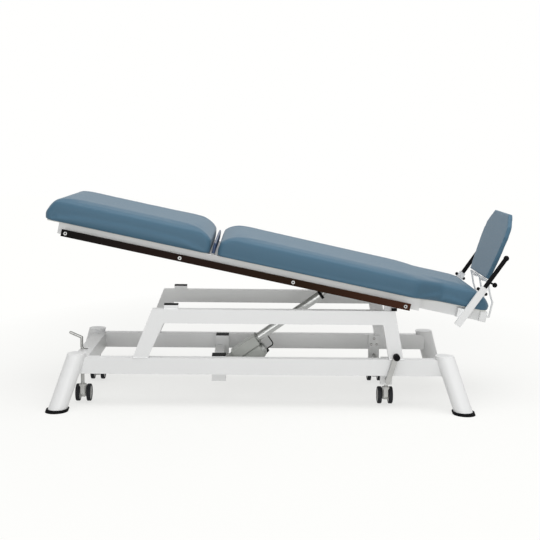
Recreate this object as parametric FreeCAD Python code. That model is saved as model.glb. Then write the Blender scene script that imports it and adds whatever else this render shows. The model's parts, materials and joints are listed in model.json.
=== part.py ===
import FreeCAD, Part
import math
import os
from FreeCAD import Vector

# Physiotherapy tilt table, millimetres, +Z up, +X from the head end to the foot end.
# The base is drawn with X = 0 midway between its feet and Z = 0 on the floor.
# The table top is drawn flat about its tilt axis and then turned to the rest tilt.

# Base frame
foot_spread_x = 1714.0
leg_lean_y = 85.0
leg_top_spread_x = 1566.0
leg_top_inset = 10.0
leg_height = 232.0
leg_diameter = 76.0
leg_wall = 3.0
rubber_foot_diameter = 90.0
rubber_foot_height = 12.0
rail_outer_width = 600.0
rail_height = 70.0
rail_width = 40.0
rail_wall = 2.5
rail_top_z = 215.0
cross_member_width = 60.0
cross_member_x = -770.0

# Upper frame
upper_top_z = 425.0
upper_height = 60.0
upper_head_x = -464.0
upper_foot_x = 566.0
head_arm_in_x = -415.0
head_arm_low_x = (-547.0, -482.0)
foot_arm_in_x = 516.0
foot_arm_low_x = (606.0, 545.0)
stub_x = -383.5
stub_length = 59.0
stub_width = 30.0
stub_height = 17.0
pad_height = 4.7

# Actuator posts and cross tube
post_x = -182.0
post_width = 60.0
post_low_z = 108.0
post_top_z = 216.0
post_cap_height = 3.0
actuator_cross_size = 40.0
actuator_cross_z = 153.0
base_ear_thickness = 6.0
base_ear_height = 34.0
base_ear_y = 14.3
base_ear_overhang = 14.9

# Tilt axis
tilt_axis_x = 545.0
tilt_axis_z = 457.0
shown_tilt = 11.7
tilt_pin_diameter = 14.0
bearing_block_length = 48.0
bearing_block_width = 18.0
bearing_block_rise = 15.0
bearing_block_inset = 38.0
buffer_x = 551.0
buffer_length = 22.0
buffer_width = 16.0
buffer_height = 11.0
buffer_inset = 18.0

# Actuator, drawn along +X from its rear pin
actuator_rear_x = -150.9
actuator_rear_z = 153.0
rear_eye_half_width = 14.0
rear_eye_radius = 14.0
rear_pin_diameter = 12.0
front_eye_half_width = 12.0
front_eye_radius = 12.0
front_pin_diameter = 10.0
gearbox_start = 32.0
gearbox_end = 160.0
gearbox_top = 20.0
gearbox_low = -26.0
gearbox_half_width = 38.0
gearbox_front_length = 28.0
gearbox_front_low = -86.0
gearbox_blend = 8.0
motor_diameter = 58.0
motor_drop = 56.0
motor_end = 158.0
motor_cap_length = 14.0
tube_diameter = 39.0
tube_bore = 32.0
tube_end = 505.0
tube_cap_length = 12.0
tube_cap_diameter = 42.0
rod_diameter = 24.0
rod_inner_end = 246.0
lead_diameter = 5.0
lead_y = 20.0
lead_top_drop = -10.0
lead_low_drop = -70.0
lead_reach = 34.0
lead_bend = 12.0

# Table top in its own flat frame: x along the top, z square to it, from the tilt axis
side_tube_width = 30.0
side_tube_low_z = -10.0
frame_top_z = 40.0
side_tube_inset = 42.0
side_tube_head_x = -1436.0
side_tube_foot_x = 130.0
side_tube_wall = 2.0
cross_tube_spans = ((-1430.0, -1400.0), (-1015.0, -985.0), (-765.0, -735.0),
                    (-500.0, -470.0), (-130.0, -100.0), (85.0, 130.0))
accessory_rail_head_x = -1414.0
accessory_rail_foot_x = 83.0
accessory_rail_height = 30.0
accessory_rail_low_z = -11.5
accessory_rail_thickness = 10.0
accessory_rail_overhang = 2.0
rail_screw_head_inset = 18.0
rail_screw_foot_inset = 21.0
rail_screw_count = 4
rail_screw_diameter = 15.0
rail_screw_head = 3.0
rail_screw_z = 3.5
rail_spacer_diameter = 18.0
rest_lug_span = (-960.0, -900.0)
rest_lug_height = 28.0
foot_beam_inset = 58.0
foot_beam_width = 30.0
foot_beam_foot_x = 403.0
foot_end_foot_x = 433.0
foot_end_overhang = 12.0
foot_frame_low_z = -5.0
panel_thickness = 6.0
panel_inset = 20.0
main_panel_head_x = -735.0
head_panel_foot_x = -805.0
front_pin_x = -195.38
front_pin_z = 13.15
table_ear_y = 12.6
table_ear_thickness = 6.0
table_ear_length = 115.0
table_ear_low_z = -2.0
soft_gap = 0.3

# Cushions, levels from the panel up: height share, draw-in, further draw-in of the square ends
cushion_overhang = 10.0
head_cushion_height = 107.7
main_cushion_height = 103.7
main_cushion_slope = 0.55
cushion_corner_radius = 28.0
cushion_levels = ((0.0, 5.0, 0.0), (0.1, 1.5, 0.0), (0.3, 0.0, 0.0), (0.62, 0.0, 6.0),
                  (0.8, 3.0, 24.0), (0.9, 10.0, 38.0), (0.96, 24.0, 45.0), (1.0, 60.0, 46.0))
head_cushion_head_x = -1504.0
head_cushion_foot_x = -786.0
head_bevel_levels = (7.0, 3.0, 0.0, 14.0, 24.0, 29.0, 30.0, 26.0)
main_cushion_head_x = -768.0
main_nose_levels = (7.0, 3.0, 0.0, 16.0, 25.0, 28.0, 23.0, 0.0)
taper_start_x = 98.0
taper_bend_x = 215.0
taper_bend_overhang = 36.0
taper_end_x = 443.0
taper_end_overhang = 32.0
taper_radius = 60.0
foot_corner_radius = 45.0

# Hinge of the head section, whose axis is halfway up the gap
hinge_axis_x = -778.0
hinge_axis_z = 86.0
hinge_leaf_thickness = 3.0
hinge_leaf_inset = 20.0
fixed_leaf_x = -776.5
moving_leaf_x = -782.0
hinge_knuckle_diameter = 8.0
hinge_pin_diameter = 4.0
hinge_knuckle_gap = 0.6
hinge_knuckle_count = 5

# Foot support in the table's flat frame
bar_foot_x = 310.0
bar_foot_z = -39.0
bar_lean = 22.8
bar_length = 366.0
bar_tube_length = 201.0
bar_overhang = 43.0
bar_width = 30.0
bar_thickness = 13.0
bar_wall = 2.0
slide_bar_low = 60.0
slide_bar_clearance = 0.3
grip_diameter = 19.0
grip_end_diameter = 24.0
grip_core_diameter = 10.0
grip_core_length = 130.0
lug_x = 300.0
lug_length = 44.0
lug_low_z = -5.0
lug_height = 40.0
bar_knob_height = 180.0
bar_knob_diameter = 15.0
bar_knob_seat = 5.2
hinge_bar_diameter = 10.0
hinge_bar_inset = 18.0
plate_axis_x = 411.0
plate_axis_z = 168.0
plate_rod_diameter = 8.0
plate_rod_inset = 24.0
plate_rod_foot_x = 452.0
plate_rod_bend_z = 84.0
plate_rod_top_x = 434.0
plate_rod_top_z = 114.0
plate_lean = 7.8
plate_thickness = 20.0
plate_front = -13.1
plate_rise = 7.3
plate_outline = ((0.0, 68.0), (110.0, 40.0), (200.0, 30.0), (245.0, 42.0), (300.0, 108.0))
plate_edge_radius = 4.0
plate_clip_span = (66.0, 86.0)
plate_clip_half_width = 10.5
plate_clip_low = -10.0
lock_knob_diameter = 22.0
lock_knob_y = -140.0
lock_stem_diameter = 8.0
lock_stem_length = 42.0
lock_stem_drop = -12.6

# Lifting castors
castor_head_x = -770.0
castor_foot_x = 540.0
castor_head_inset = 65.0
castor_foot_inset = 52.0
castor_head_trail = 30.0
castor_foot_trail = 35.0
castor_wheel_diameter = 75.0
castor_wheel_width = 22.0
castor_wheel_inner = 11.0
castor_axle_z = 40.5
castor_axle_diameter = 8.0
castor_body_half_width = 9.0
castor_body_radius = 17.0
castor_disc_diameter = 30.0
castor_disc_low_z = 76.0
castor_disc_top_z = 86.0
castor_stem_diameter = 16.0
castor_spigot_diameter = 10.0
castor_spigot_low_z = 70.0
wheel_edge_radius = 4.0
housing_half_length = 25.0
housing_depth = 24.0
housing_low_z = 96.0
housing_wall = 2.0
cam_shaft_diameter = 15.0
cam_radius = 14.0
cam_offset = 6.0
cam_width = 12.0
cam_angle = 45.0
head_cam_shaft_z = 186.0
foot_cam_shaft_z = 122.0
lever_width = 22.0
lever_thickness = 10.0
lever_gap = 6.0
lever_top = (572.0, 232.0)
pedal_grip_diameter = 28.0
pedal_grip_length = 29.0
pedal_rod_diameter = 13.0
pedal_y = -118.0
pedal_points = ((-792.0, 224.0), (-792.0, 266.0), (-840.0, 287.0))
pedal_notch_half_width = 12.0
pedal_notch_foot_x = -765.0
pedal_notch_low_z = 150.0

# General
running_gap = 0.05
overrun = 2.0
blend_radius = 3.0

y_axis = Vector(0, 1, 0)
x_axis = Vector(1, 0, 0)
zero = Vector(0, 0, 0)

# Sizes worked out from the ones above
rail_half = rail_outer_width / 2
rail_inner_y = rail_half - rail_width
rail_low_z = rail_top_z - rail_height
leg_top_y = rail_half - leg_top_inset
foot_y = leg_top_y + leg_lean_y
bearing_block_y = rail_half - bearing_block_inset
buffer_y = rail_half - buffer_inset
castor_head_y = rail_half - castor_head_inset
castor_foot_y = rail_half - castor_foot_inset
side_tube_outer_y = rail_half - side_tube_inset
side_tube_inner_y = side_tube_outer_y - side_tube_width
accessory_rail_inner_y = rail_half + accessory_rail_overhang
tilt_pin_reach = accessory_rail_inner_y + accessory_rail_thickness - overrun
cushion_low_z = frame_top_z + soft_gap
cushion_half_width = rail_half + cushion_overhang
hinge_leaf_half_width = cushion_half_width - hinge_leaf_inset
foot_beam_outer_y = side_tube_outer_y - foot_beam_inset
foot_end_half_width = foot_beam_outer_y + foot_end_overhang
taper_start = (taper_start_x, cushion_half_width)
taper_bend = (taper_bend_x, foot_beam_outer_y + taper_bend_overhang)
taper_end = (taper_end_x, foot_beam_outer_y + taper_end_overhang)
bar_y = foot_beam_outer_y + bar_overhang
hinge_bar_half_length = foot_beam_outer_y - hinge_bar_inset
plate_rod_y = foot_beam_outer_y - plate_rod_inset
everything = 4000.0


def on_table_point(x, z):
    """Base position of a point given in the table's flat frame."""
    turn = math.radians(shown_tilt)
    return (tilt_axis_x + x * math.cos(turn) + z * math.sin(turn),
            tilt_axis_z - x * math.sin(turn) + z * math.cos(turn))


front_pin = on_table_point(front_pin_x, front_pin_z)
actuator_length = math.dist(front_pin, (actuator_rear_x, actuator_rear_z))
actuator_angle = math.degrees(math.atan2(front_pin[1] - actuator_rear_z,
                                         front_pin[0] - actuator_rear_x))


def block(x0, x1, y0, y1, z0, z1):
    return Part.makeBox(x1 - x0, y1 - y0, z1 - z0, Vector(x0, y0, z0))


def rod(start, end, radius):
    direction = end - start
    return Part.makeCylinder(radius, direction.Length, start, direction)


def rod_y(x, z, y0, y1, radius):
    return Part.makeCylinder(radius, y1 - y0, Vector(x, y0, z), y_axis)


def bent_rod(points, radius):
    """Round rod through points, with a ball at each bend."""
    pieces = [rod(points[i], points[i + 1], radius) for i in range(len(points) - 1)]
    pieces += [Part.makeSphere(radius, point) for point in points[1:-1]]
    return pieces[0].fuse(pieces[1:]).removeSplitter()


def plate_y(points, y0, y1):
    """Flat plate with an outline in X and Z, from y0 to y1."""
    corners = [Vector(x, y0, z) for x, z in points]
    return Part.Face(Part.makePolygon(corners + corners[:1])).extrude(Vector(0, y1 - y0, 0))


def mirrored(shape):
    return shape.mirror(zero, y_axis)


def both_sides(shapes):
    group = shapes if isinstance(shapes, list) else [shapes]
    return group + [mirrored(shape) for shape in group]


def leaned(shape, x, z, lean):
    """A shape drawn about the origin, leaned towards +X and moved to x, z."""
    turned = shape.copy()
    turned.rotate(zero, y_axis, lean)
    turned.translate(Vector(x, 0, z))
    return turned


def on_table(shape):
    return leaned(shape, tilt_axis_x, tilt_axis_z, shown_tilt)


def on_actuator(shape):
    return leaned(shape, actuator_rear_x, actuator_rear_z, -actuator_angle)


def largest(shape):
    return max(shape.Solids, key=lambda solid: solid.Volume)


def rounded_outline(corners, z):
    """Closed wire through corners, each (x, y, radius), rounded by an arc."""
    arcs = []
    count = len(corners)
    for i in range(count):
        here = Vector(corners[i][0], corners[i][1], z)
        before = (Vector(corners[i - 1][0], corners[i - 1][1], z) - here).normalize()
        after_corner = corners[(i + 1) % count]
        after = (Vector(after_corner[0], after_corner[1], z) - here).normalize()
        half = before.getAngle(after) / 2
        reach = corners[i][2] / math.tan(half)
        bisector = (before + after).normalize()
        middle = here + bisector * (corners[i][2] / math.sin(half) - corners[i][2])
        arcs.append((here + before * reach, middle, here + after * reach))
    edges = []
    for i in range(count):
        start, middle, end = arcs[i]
        edges.append(Part.Arc(start, middle, end).toShape())
        edges.append(Part.LineSegment(end, arcs[(i + 1) % count][0]).toShape())
    return Part.Wire(edges)


def tube_x(x0, x1, y0, y1, z0, z1, wall):
    """Square tube along X with open ends."""
    hollow = block(x0 - overrun, x1 + overrun, y0 + wall, y1 - wall, z0 + wall, z1 - wall)
    return block(x0, x1, y0, y1, z0, z1).cut(hollow)


def tube_y(x0, x1, y0, y1, z0, z1, wall):
    """Square tube along Y with open ends."""
    hollow = block(x0 + wall, x1 - wall, y0 - overrun, y1 + overrun, z0 + wall, z1 - wall)
    return block(x0, x1, y0, y1, z0, z1).cut(hollow)


# Base

def leg_solid(end, side, radius, low_z, high_z):
    """Slice of a leaning round leg; end and side are +1 or -1."""
    foot = Vector(end * foot_spread_x / 2, side * foot_y, 0)
    top = Vector(end * leg_top_spread_x / 2, side * leg_top_y, leg_height)
    direction = top - foot
    long_rod = Part.makeCylinder(radius, direction.Length * 2, foot - direction * 0.5, direction)
    return long_rod.common(block(-everything, everything, -everything, everything, low_z, high_z))


def legs():
    solids = []
    for end in (-1, 1):
        for side in (-1, 1):
            outer = leg_solid(end, side, leg_diameter / 2, rubber_foot_height, leg_height)
            inner = leg_solid(end, side, leg_diameter / 2 - leg_wall, 0, leg_height - leg_wall)
            solids.append(outer.cut(inner))
    return solids


def rubber_feet():
    return [leg_solid(end, side, rubber_foot_diameter / 2, 0, rubber_foot_height)
            for end in (-1, 1) for side in (-1, 1)]


def without_legs(shape):
    for end in (-1, 1):
        for side in (-1, 1):
            shape = shape.cut(leg_solid(end, side, leg_diameter / 2, 0, leg_height))
    return largest(shape)


def base_rail():
    half = leg_top_spread_x / 2
    return without_legs(tube_x(-half, half, rail_inner_y, rail_half, rail_low_z, rail_top_z,
                               rail_wall))


def head_cross_member():
    x0 = cross_member_x - cross_member_width / 2
    x1 = cross_member_x + cross_member_width / 2
    member = without_legs(tube_y(x0, x1, -rail_inner_y, rail_inner_y, rail_low_z, rail_top_z,
                                 rail_wall))
    for side in (-1, 1):
        member = member.cut(Part.makeCylinder(castor_stem_diameter / 2 + running_gap,
                                              rail_low_z + rail_wall + overrun,
                                              Vector(castor_head_x, side * castor_head_y, 0)))
    notch = block(x0 - overrun, pedal_notch_foot_x, pedal_y - pedal_notch_half_width,
                  pedal_y + pedal_notch_half_width, pedal_notch_low_z, rail_top_z + overrun)
    return member.cut(notch)


def inset_outline(points, wall):
    """Outline pulled in by a wall on every side."""
    corners = [Vector(x, y, 0) for x, y in points]
    count = len(corners)
    area = sum(corners[i - 1].x * corners[i].y - corners[i].x * corners[i - 1].y
               for i in range(count))
    up = Vector(0, 0, math.copysign(1, area))
    result = []
    for i in range(count):
        before = up.cross((corners[i] - corners[i - 1]).normalize())
        after = up.cross((corners[(i + 1) % count] - corners[i]).normalize())
        move = (before + after) * (wall / (1 + before.dot(after)))
        result.append((corners[i].x + move.x, corners[i].y + move.y))
    return result


def flat_tube(points):
    """Closed flat tube with an outline in X and Z, as wide as a rail."""
    outer = plate_y(points, rail_inner_y, rail_half)
    return outer.cut(plate_y(inset_outline(points, rail_wall), rail_inner_y + rail_wall,
                             rail_half - rail_wall))


def upper_rails():
    low_z = upper_top_z - upper_height
    points = [(upper_head_x, upper_top_z), (upper_foot_x, upper_top_z), (foot_arm_in_x, low_z),
              (head_arm_in_x, low_z)]
    return both_sides(flat_tube(points))


def frame_arms():
    low_z = upper_top_z - upper_height
    head = [(upper_head_x, upper_top_z), (head_arm_in_x, low_z), (head_arm_low_x[1], rail_top_z),
            (head_arm_low_x[0], rail_top_z)]
    foot = [(foot_arm_in_x, low_z), (upper_foot_x, upper_top_z), (foot_arm_low_x[0], rail_top_z),
            (foot_arm_low_x[1], rail_top_z)]
    return both_sides([flat_tube(head), flat_tube(foot)])


def rail_top_block(mid_x, length, width, low_z, high_z):
    mid_y = (rail_inner_y + rail_half) / 2
    return both_sides(block(mid_x - length / 2, mid_x + length / 2, mid_y - width / 2,
                            mid_y + width / 2, low_z, high_z))


def rest_stubs():
    return rail_top_block(stub_x, stub_length, stub_width, upper_top_z, upper_top_z + stub_height)


def rest_pads():
    low_z = upper_top_z + stub_height
    return rail_top_block(stub_x, stub_length, stub_width, low_z, low_z + pad_height)


def post_tube(low_z, high_z, wall):
    x0 = post_x - post_width / 2
    outer = block(x0, x0 + post_width, rail_inner_y - post_width, rail_inner_y, low_z, high_z)
    if not wall:
        return outer
    return outer.cut(block(x0 + wall, x0 + post_width - wall, rail_inner_y - post_width + wall,
                           rail_inner_y - wall, low_z + wall, high_z + overrun))


def actuator_posts():
    return both_sides(post_tube(post_low_z, post_top_z, rail_wall))


def post_caps():
    return both_sides(post_tube(post_top_z, post_top_z + post_cap_height, 0))


def actuator_cross_tube():
    x0 = post_x - post_width / 2
    half = actuator_cross_size / 2
    reach = rail_inner_y - post_width
    return tube_y(x0, x0 + actuator_cross_size, -reach, reach, actuator_cross_z - half,
                  actuator_cross_z + half, rail_wall)


def actuator_base_bracket():
    x0 = post_x - post_width / 2 + actuator_cross_size
    half = base_ear_height / 2
    ear = block(x0, actuator_rear_x + base_ear_overhang, base_ear_y, base_ear_y + base_ear_thickness,
                actuator_rear_z - half, actuator_rear_z + half)
    corners = [edge for edge in ear.Edges if edge.CenterOfMass.x > actuator_rear_x + base_ear_overhang
               - overrun and abs(edge.CenterOfMass.z - actuator_rear_z) > half - overrun]
    ear = ear.makeFillet(half / 2, corners)
    reach = base_ear_y + base_ear_thickness
    pin = rod_y(actuator_rear_x, actuator_rear_z, -reach, reach, rear_pin_diameter / 2)
    return pin.fuse(both_sides(ear)).removeSplitter()


def castor_housings():
    x0 = castor_foot_x - housing_half_length
    x1 = castor_foot_x + housing_half_length
    y0 = rail_inner_y - housing_depth
    outer = block(x0, x1, y0, rail_inner_y, housing_low_z, rail_top_z)
    inner = block(x0 + housing_wall, x1 - housing_wall, y0 + housing_wall,
                  rail_inner_y - housing_wall, housing_low_z + housing_wall,
                  rail_top_z - housing_wall)
    stem = Part.makeCylinder(castor_stem_diameter / 2 + running_gap, housing_low_z + overrun * 2,
                             Vector(castor_foot_x, castor_foot_y, 0))
    shaft = rod_y(castor_foot_x, foot_cam_shaft_z, -rail_half, rail_inner_y - housing_wall,
                  cam_shaft_diameter / 2 + running_gap)
    shell = outer.cut(inner).cut(stem)
    return [shell.cut(shaft), mirrored(shell).cut(shaft)]


def tilt_bearing_blocks():
    half = bearing_block_length / 2
    bearing = block(tilt_axis_x - half, tilt_axis_x + half, bearing_block_y,
                    bearing_block_y + bearing_block_width, upper_top_z,
                    tilt_axis_z + bearing_block_rise)
    corners = [edge for edge in bearing.Edges if abs(edge.CenterOfMass.x - tilt_axis_x) > half - overrun
               and edge.CenterOfMass.z > tilt_axis_z + bearing_block_rise - overrun
               and edge.Length < bearing_block_width + overrun]
    bearing = bearing.makeFillet(bearing_block_rise * 0.8, corners)
    return both_sides(bearing.cut(rod_y(tilt_axis_x, tilt_axis_z, 0, rail_half,
                                        tilt_pin_diameter / 2 + running_gap)))


def tilt_buffers():
    return both_sides(block(buffer_x, buffer_x + buffer_length, buffer_y, buffer_y + buffer_width,
                            upper_top_z, upper_top_z + buffer_height))


# Actuator

def actuator_housing():
    body = block(gearbox_start, gearbox_end, -gearbox_half_width, gearbox_half_width, gearbox_low,
                 gearbox_top)
    head = block(gearbox_start, gearbox_start + gearbox_front_length, -gearbox_half_width,
                 gearbox_half_width, gearbox_front_low, gearbox_top)
    body = body.fuse(head).removeSplitter()
    long_edges = [edge for edge in body.Edges if abs(abs(edge.CenterOfMass.y) - gearbox_half_width)
                  < overrun]
    body = body.makeFillet(gearbox_blend / 2, long_edges)
    eye = rod_y(0, 0, -rear_eye_half_width, rear_eye_half_width, rear_eye_radius)
    neck = block(0, gearbox_start + overrun, -rear_eye_half_width, rear_eye_half_width,
                 -rear_eye_radius * 0.8, rear_eye_radius * 0.8)
    bore = rod_y(0, 0, -everything, everything, rear_pin_diameter / 2 + running_gap)
    return [on_actuator(body.fuse([eye, neck]).cut(bore).removeSplitter())]


def actuator_motor():
    start = gearbox_start + gearbox_front_length
    motor = rod(Vector(start, 0, -motor_drop), Vector(motor_end, 0, -motor_drop), motor_diameter / 2)
    cap = rod(Vector(motor_end, 0, -motor_drop), Vector(motor_end + motor_cap_length, 0, -motor_drop),
              motor_diameter / 2 - overrun)
    cap = cap.makeFillet(motor_cap_length * 0.6, [max(cap.Edges, key=lambda edge: edge.CenterOfMass.x)])
    return [on_actuator(motor.fuse(cap).removeSplitter())]


def actuator_tube():
    tube = rod(Vector(gearbox_end, 0, 0), Vector(tube_end, 0, 0), tube_diameter / 2)
    return [on_actuator(tube.cut(rod(zero, Vector(everything, 0, 0), tube_bore / 2)))]


def actuator_tube_cap():
    cap = rod(Vector(tube_end, 0, 0), Vector(tube_end + tube_cap_length, 0, 0), tube_cap_diameter / 2)
    bore = rod(zero, Vector(everything, 0, 0), rod_diameter / 2 + running_gap)
    return [on_actuator(cap.cut(bore))]


def actuator_rod():
    plunger = rod(Vector(rod_inner_end, 0, 0), Vector(actuator_length, 0, 0), rod_diameter / 2)
    eye = rod_y(actuator_length, 0, -front_eye_half_width, front_eye_half_width, front_eye_radius)
    whole = plunger.common(block(0, actuator_length, -everything, everything, -everything, everything))
    bore = rod_y(actuator_length, 0, -everything, everything, front_pin_diameter / 2)
    return [on_actuator(whole.fuse(eye).cut(bore).removeSplitter())]


def actuator_front_pin():
    reach = front_eye_half_width + soft_gap
    return [on_actuator(rod_y(actuator_length, 0, -reach, reach, front_pin_diameter / 2))]


def motor_lead():
    """Short lead looping from the housing's end face to the end of the motor."""
    motor_face = motor_end + motor_cap_length
    high = lead_top_drop
    low = lead_low_drop
    far = motor_face + lead_reach
    bend = lead_bend
    diagonal = bend * math.sin(math.radians(45))
    points = [Vector(gearbox_end, lead_y, high), Vector(far - bend, lead_y, high),
              Vector(far - bend + diagonal, lead_y, high - bend + diagonal),
              Vector(far, lead_y, high - bend), Vector(far, lead_y, low + bend),
              Vector(far - bend + diagonal, lead_y, low + bend - diagonal),
              Vector(far - bend, lead_y, low), Vector(motor_face, lead_y, low)]
    wire = Part.Wire([Part.LineSegment(points[0], points[1]).toShape(),
                      Part.Arc(points[1], points[2], points[3]).toShape(),
                      Part.LineSegment(points[3], points[4]).toShape(),
                      Part.Arc(points[4], points[5], points[6]).toShape(),
                      Part.LineSegment(points[6], points[7]).toShape()])
    section = Part.Wire(Part.makeCircle(lead_diameter / 2, points[0], x_axis))
    return [on_actuator(wire.makePipeShell([section], True, False))]


# Table top

def side_tubes():
    tube = tube_x(side_tube_head_x, side_tube_foot_x, side_tube_inner_y, side_tube_outer_y,
                  side_tube_low_z, frame_top_z, side_tube_wall)
    return both_sides(tube.cut(rod_y(0, 0, 0, rail_half, tilt_pin_diameter / 2)))


def frame_cross_tubes():
    return [tube_y(x0, x1, -side_tube_inner_y, side_tube_inner_y, side_tube_low_z, frame_top_z,
                   side_tube_wall) for x0, x1 in cross_tube_spans]


def foot_frame():
    beam = tube_x(side_tube_foot_x, foot_beam_foot_x, foot_beam_outer_y - foot_beam_width,
                  foot_beam_outer_y, foot_frame_low_z, frame_top_z, side_tube_wall)
    end = tube_y(foot_beam_foot_x, foot_end_foot_x, -foot_end_half_width, foot_end_half_width,
                 foot_frame_low_z, frame_top_z, side_tube_wall)
    return both_sides(beam) + [end]


def rail_screw_x(index):
    first = accessory_rail_head_x + rail_screw_head_inset
    last = accessory_rail_foot_x - rail_screw_foot_inset
    return first + index * (last - first) / (rail_screw_count - 1)


def accessory_rails():
    y0 = accessory_rail_inner_y
    y1 = y0 + accessory_rail_thickness
    rail = block(accessory_rail_head_x, accessory_rail_foot_x, y0, y1, accessory_rail_low_z,
                 accessory_rail_low_z + accessory_rail_height)
    long_edges = [edge for edge in rail.Edges if edge.Length > accessory_rail_height + overrun]
    rail = rail.makeFillet(blend_radius / 2, long_edges)
    return both_sides(rail.cut(rod_y(0, 0, 0, tilt_pin_reach, tilt_pin_diameter / 2)))


def rail_screws():
    y0 = accessory_rail_inner_y + accessory_rail_thickness
    heads = []
    for index in range(rail_screw_count):
        head = rod_y(rail_screw_x(index), rail_screw_z, y0, y0 + rail_screw_head,
                     rail_screw_diameter / 2)
        socket = rod_y(rail_screw_x(index), rail_screw_z, y0 + rail_screw_head / 2,
                       y0 + rail_screw_head, rail_screw_diameter / 4)
        heads.append(head.cut(socket))
    return both_sides(heads)


def rail_spacers():
    spacers = [rod_y(rail_screw_x(index), rail_screw_z, side_tube_outer_y, accessory_rail_inner_y,
                     rail_spacer_diameter / 2) for index in (0, 2)]
    lug_x0, lug_x1 = rest_lug_span
    spacers.append(block(lug_x0, lug_x1, side_tube_outer_y, accessory_rail_inner_y, side_tube_low_z,
                         side_tube_low_z + rest_lug_height))
    return both_sides(spacers)


def tilt_pins():
    return both_sides(rod_y(0, 0, side_tube_inner_y, tilt_pin_reach, tilt_pin_diameter / 2))


def main_board(growth):
    """Board under the main cushion, or the pocket for it where it grows by a gap."""
    points = [(main_panel_head_x - panel_inset, cushion_half_width), taper_start, taper_bend,
              taper_end]
    points += [(x, -y) for x, y in reversed(points)]
    outline = inset_outline(points, panel_inset - growth)
    corners = [Vector(x, y, frame_top_z) for x, y in outline]
    face = Part.Face(Part.makePolygon(corners + corners[:1]))
    return face.extrude(Vector(0, 0, panel_thickness + growth))


def main_panel():
    return main_board(0)


def head_board(growth, low_z):
    """Board under the head cushion, or the pocket for it where it grows by a gap."""
    half = cushion_half_width - panel_inset + growth
    return block(head_cushion_head_x + panel_inset - growth, head_panel_foot_x + growth, -half,
                 half, low_z, frame_top_z + panel_thickness + growth)


def head_panel():
    return head_board(0, frame_top_z + soft_gap)


def actuator_ears():
    x1 = cross_tube_spans[4][0]
    return both_sides(block(x1 - table_ear_length, x1, table_ear_y, table_ear_y + table_ear_thickness,
                            table_ear_low_z, frame_top_z))


# Cushions

def head_outline(draw, pull, bevel, z):
    half = cushion_half_width - draw
    x0 = head_cushion_head_x + draw + bevel
    x1 = head_cushion_foot_x - draw - pull
    radius = cushion_corner_radius
    return rounded_outline([(x0, -half, radius), (x1, -half, radius), (x1, half, radius),
                            (x0, half, radius)], z)


def main_outline(draw, pull, nose, z):
    corners = [(main_cushion_head_x + pull, cushion_half_width), taper_start, taper_bend,
               (taper_end[0] - pull - nose, taper_end[1])]
    radii = [cushion_corner_radius, taper_radius, taper_radius, foot_corner_radius]
    corners += [(x, -y) for x, y in reversed(corners)]
    radii += list(reversed(radii))
    if draw:
        corners = inset_outline(corners, draw)
    return rounded_outline([(x, y, r) for (x, y), r in zip(corners, radii)], z)


def leaf_pocket():
    """Room under both cushions for the flanges of the hinge leaves."""
    half = hinge_leaf_half_width + soft_gap
    return block(head_panel_foot_x, main_panel_head_x, -half, half, frame_top_z,
                 frame_top_z + panel_thickness + soft_gap)


def cushion(outline, bevels, height, slope, pocket):
    """Cushion lofted through outlines that tilt towards the top, with a pocket for its board."""
    wires = []
    for (share, draw, pull), bevel in zip(cushion_levels, bevels):
        z = cushion_low_z + height * share
        wire = outline(draw, pull, bevel, z)
        wire.rotate(Vector(main_cushion_head_x, 0, z), y_axis, slope * share)
        wires.append(wire)
    return largest(Part.makeLoft(wires, True, True).cut(pocket).cut(leaf_pocket()))


def head_cushion():
    pocket = head_board(soft_gap, frame_top_z)
    return cushion(head_outline, head_bevel_levels, head_cushion_height, 0, pocket)


def main_cushion():
    pocket = main_board(soft_gap)
    return cushion(main_outline, main_nose_levels, main_cushion_height, main_cushion_slope, pocket)


# Hinge of the head section

def knuckle_span(index):
    """Start and end of one knuckle along Y."""
    length = 2 * hinge_leaf_half_width / hinge_knuckle_count
    start = -hinge_leaf_half_width + index * length
    return start + hinge_knuckle_gap / 2, start + length - hinge_knuckle_gap / 2


def hinge_leaf(leaf_x, flange_x, low_z, own, reach):
    """Upright leaf with a flange under the panel and every second knuckle."""
    half = hinge_leaf_half_width
    thick = hinge_leaf_thickness
    leaf = block(leaf_x, leaf_x + thick, -half, half, low_z, hinge_axis_z)
    x0 = min(leaf_x, flange_x)
    x1 = max(leaf_x + thick, flange_x)
    leaf = leaf.fuse(block(x0, x1, -half, half, low_z, low_z + thick))
    radius = hinge_knuckle_diameter / 2
    for index in range(hinge_knuckle_count):
        y0, y1 = knuckle_span(index)
        if index % 2 == own:
            leaf = leaf.fuse(rod_y(hinge_axis_x, hinge_axis_z, y0, y1, radius))
        else:
            leaf = leaf.cut(rod_y(hinge_axis_x, hinge_axis_z, y0 - hinge_knuckle_gap,
                                  y1 + hinge_knuckle_gap, radius + hinge_knuckle_gap))
    pin = rod_y(hinge_axis_x, hinge_axis_z, -half, half, hinge_pin_diameter / 2 + reach)
    return leaf.fuse(pin).removeSplitter() if own == 0 else leaf.cut(pin).removeSplitter()


def hinge_leaf_fixed():
    return hinge_leaf(fixed_leaf_x, main_panel_head_x, frame_top_z, 0, 0)


def hinge_leaf_moving():
    return hinge_leaf(moving_leaf_x, head_panel_foot_x, frame_top_z + soft_gap, 1, running_gap)


# Foot support

def bar_box(grow, low, high):
    """Block around the side bar in the bar's own frame."""
    half_width = bar_width / 2 + grow
    half_depth = bar_thickness / 2 + grow
    return block(-half_width, half_width, bar_y - half_depth, bar_y + half_depth, low, high)


def on_bar(shape):
    return leaned(shape, bar_foot_x, bar_foot_z, bar_lean)


def bar_tubes():
    """Flat tubes beside the foot end, open at the bottom."""
    tube = bar_box(0, 0, bar_tube_length).cut(bar_box(-bar_wall, -overrun, bar_tube_length + overrun))
    return both_sides(on_bar(tube))


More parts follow.
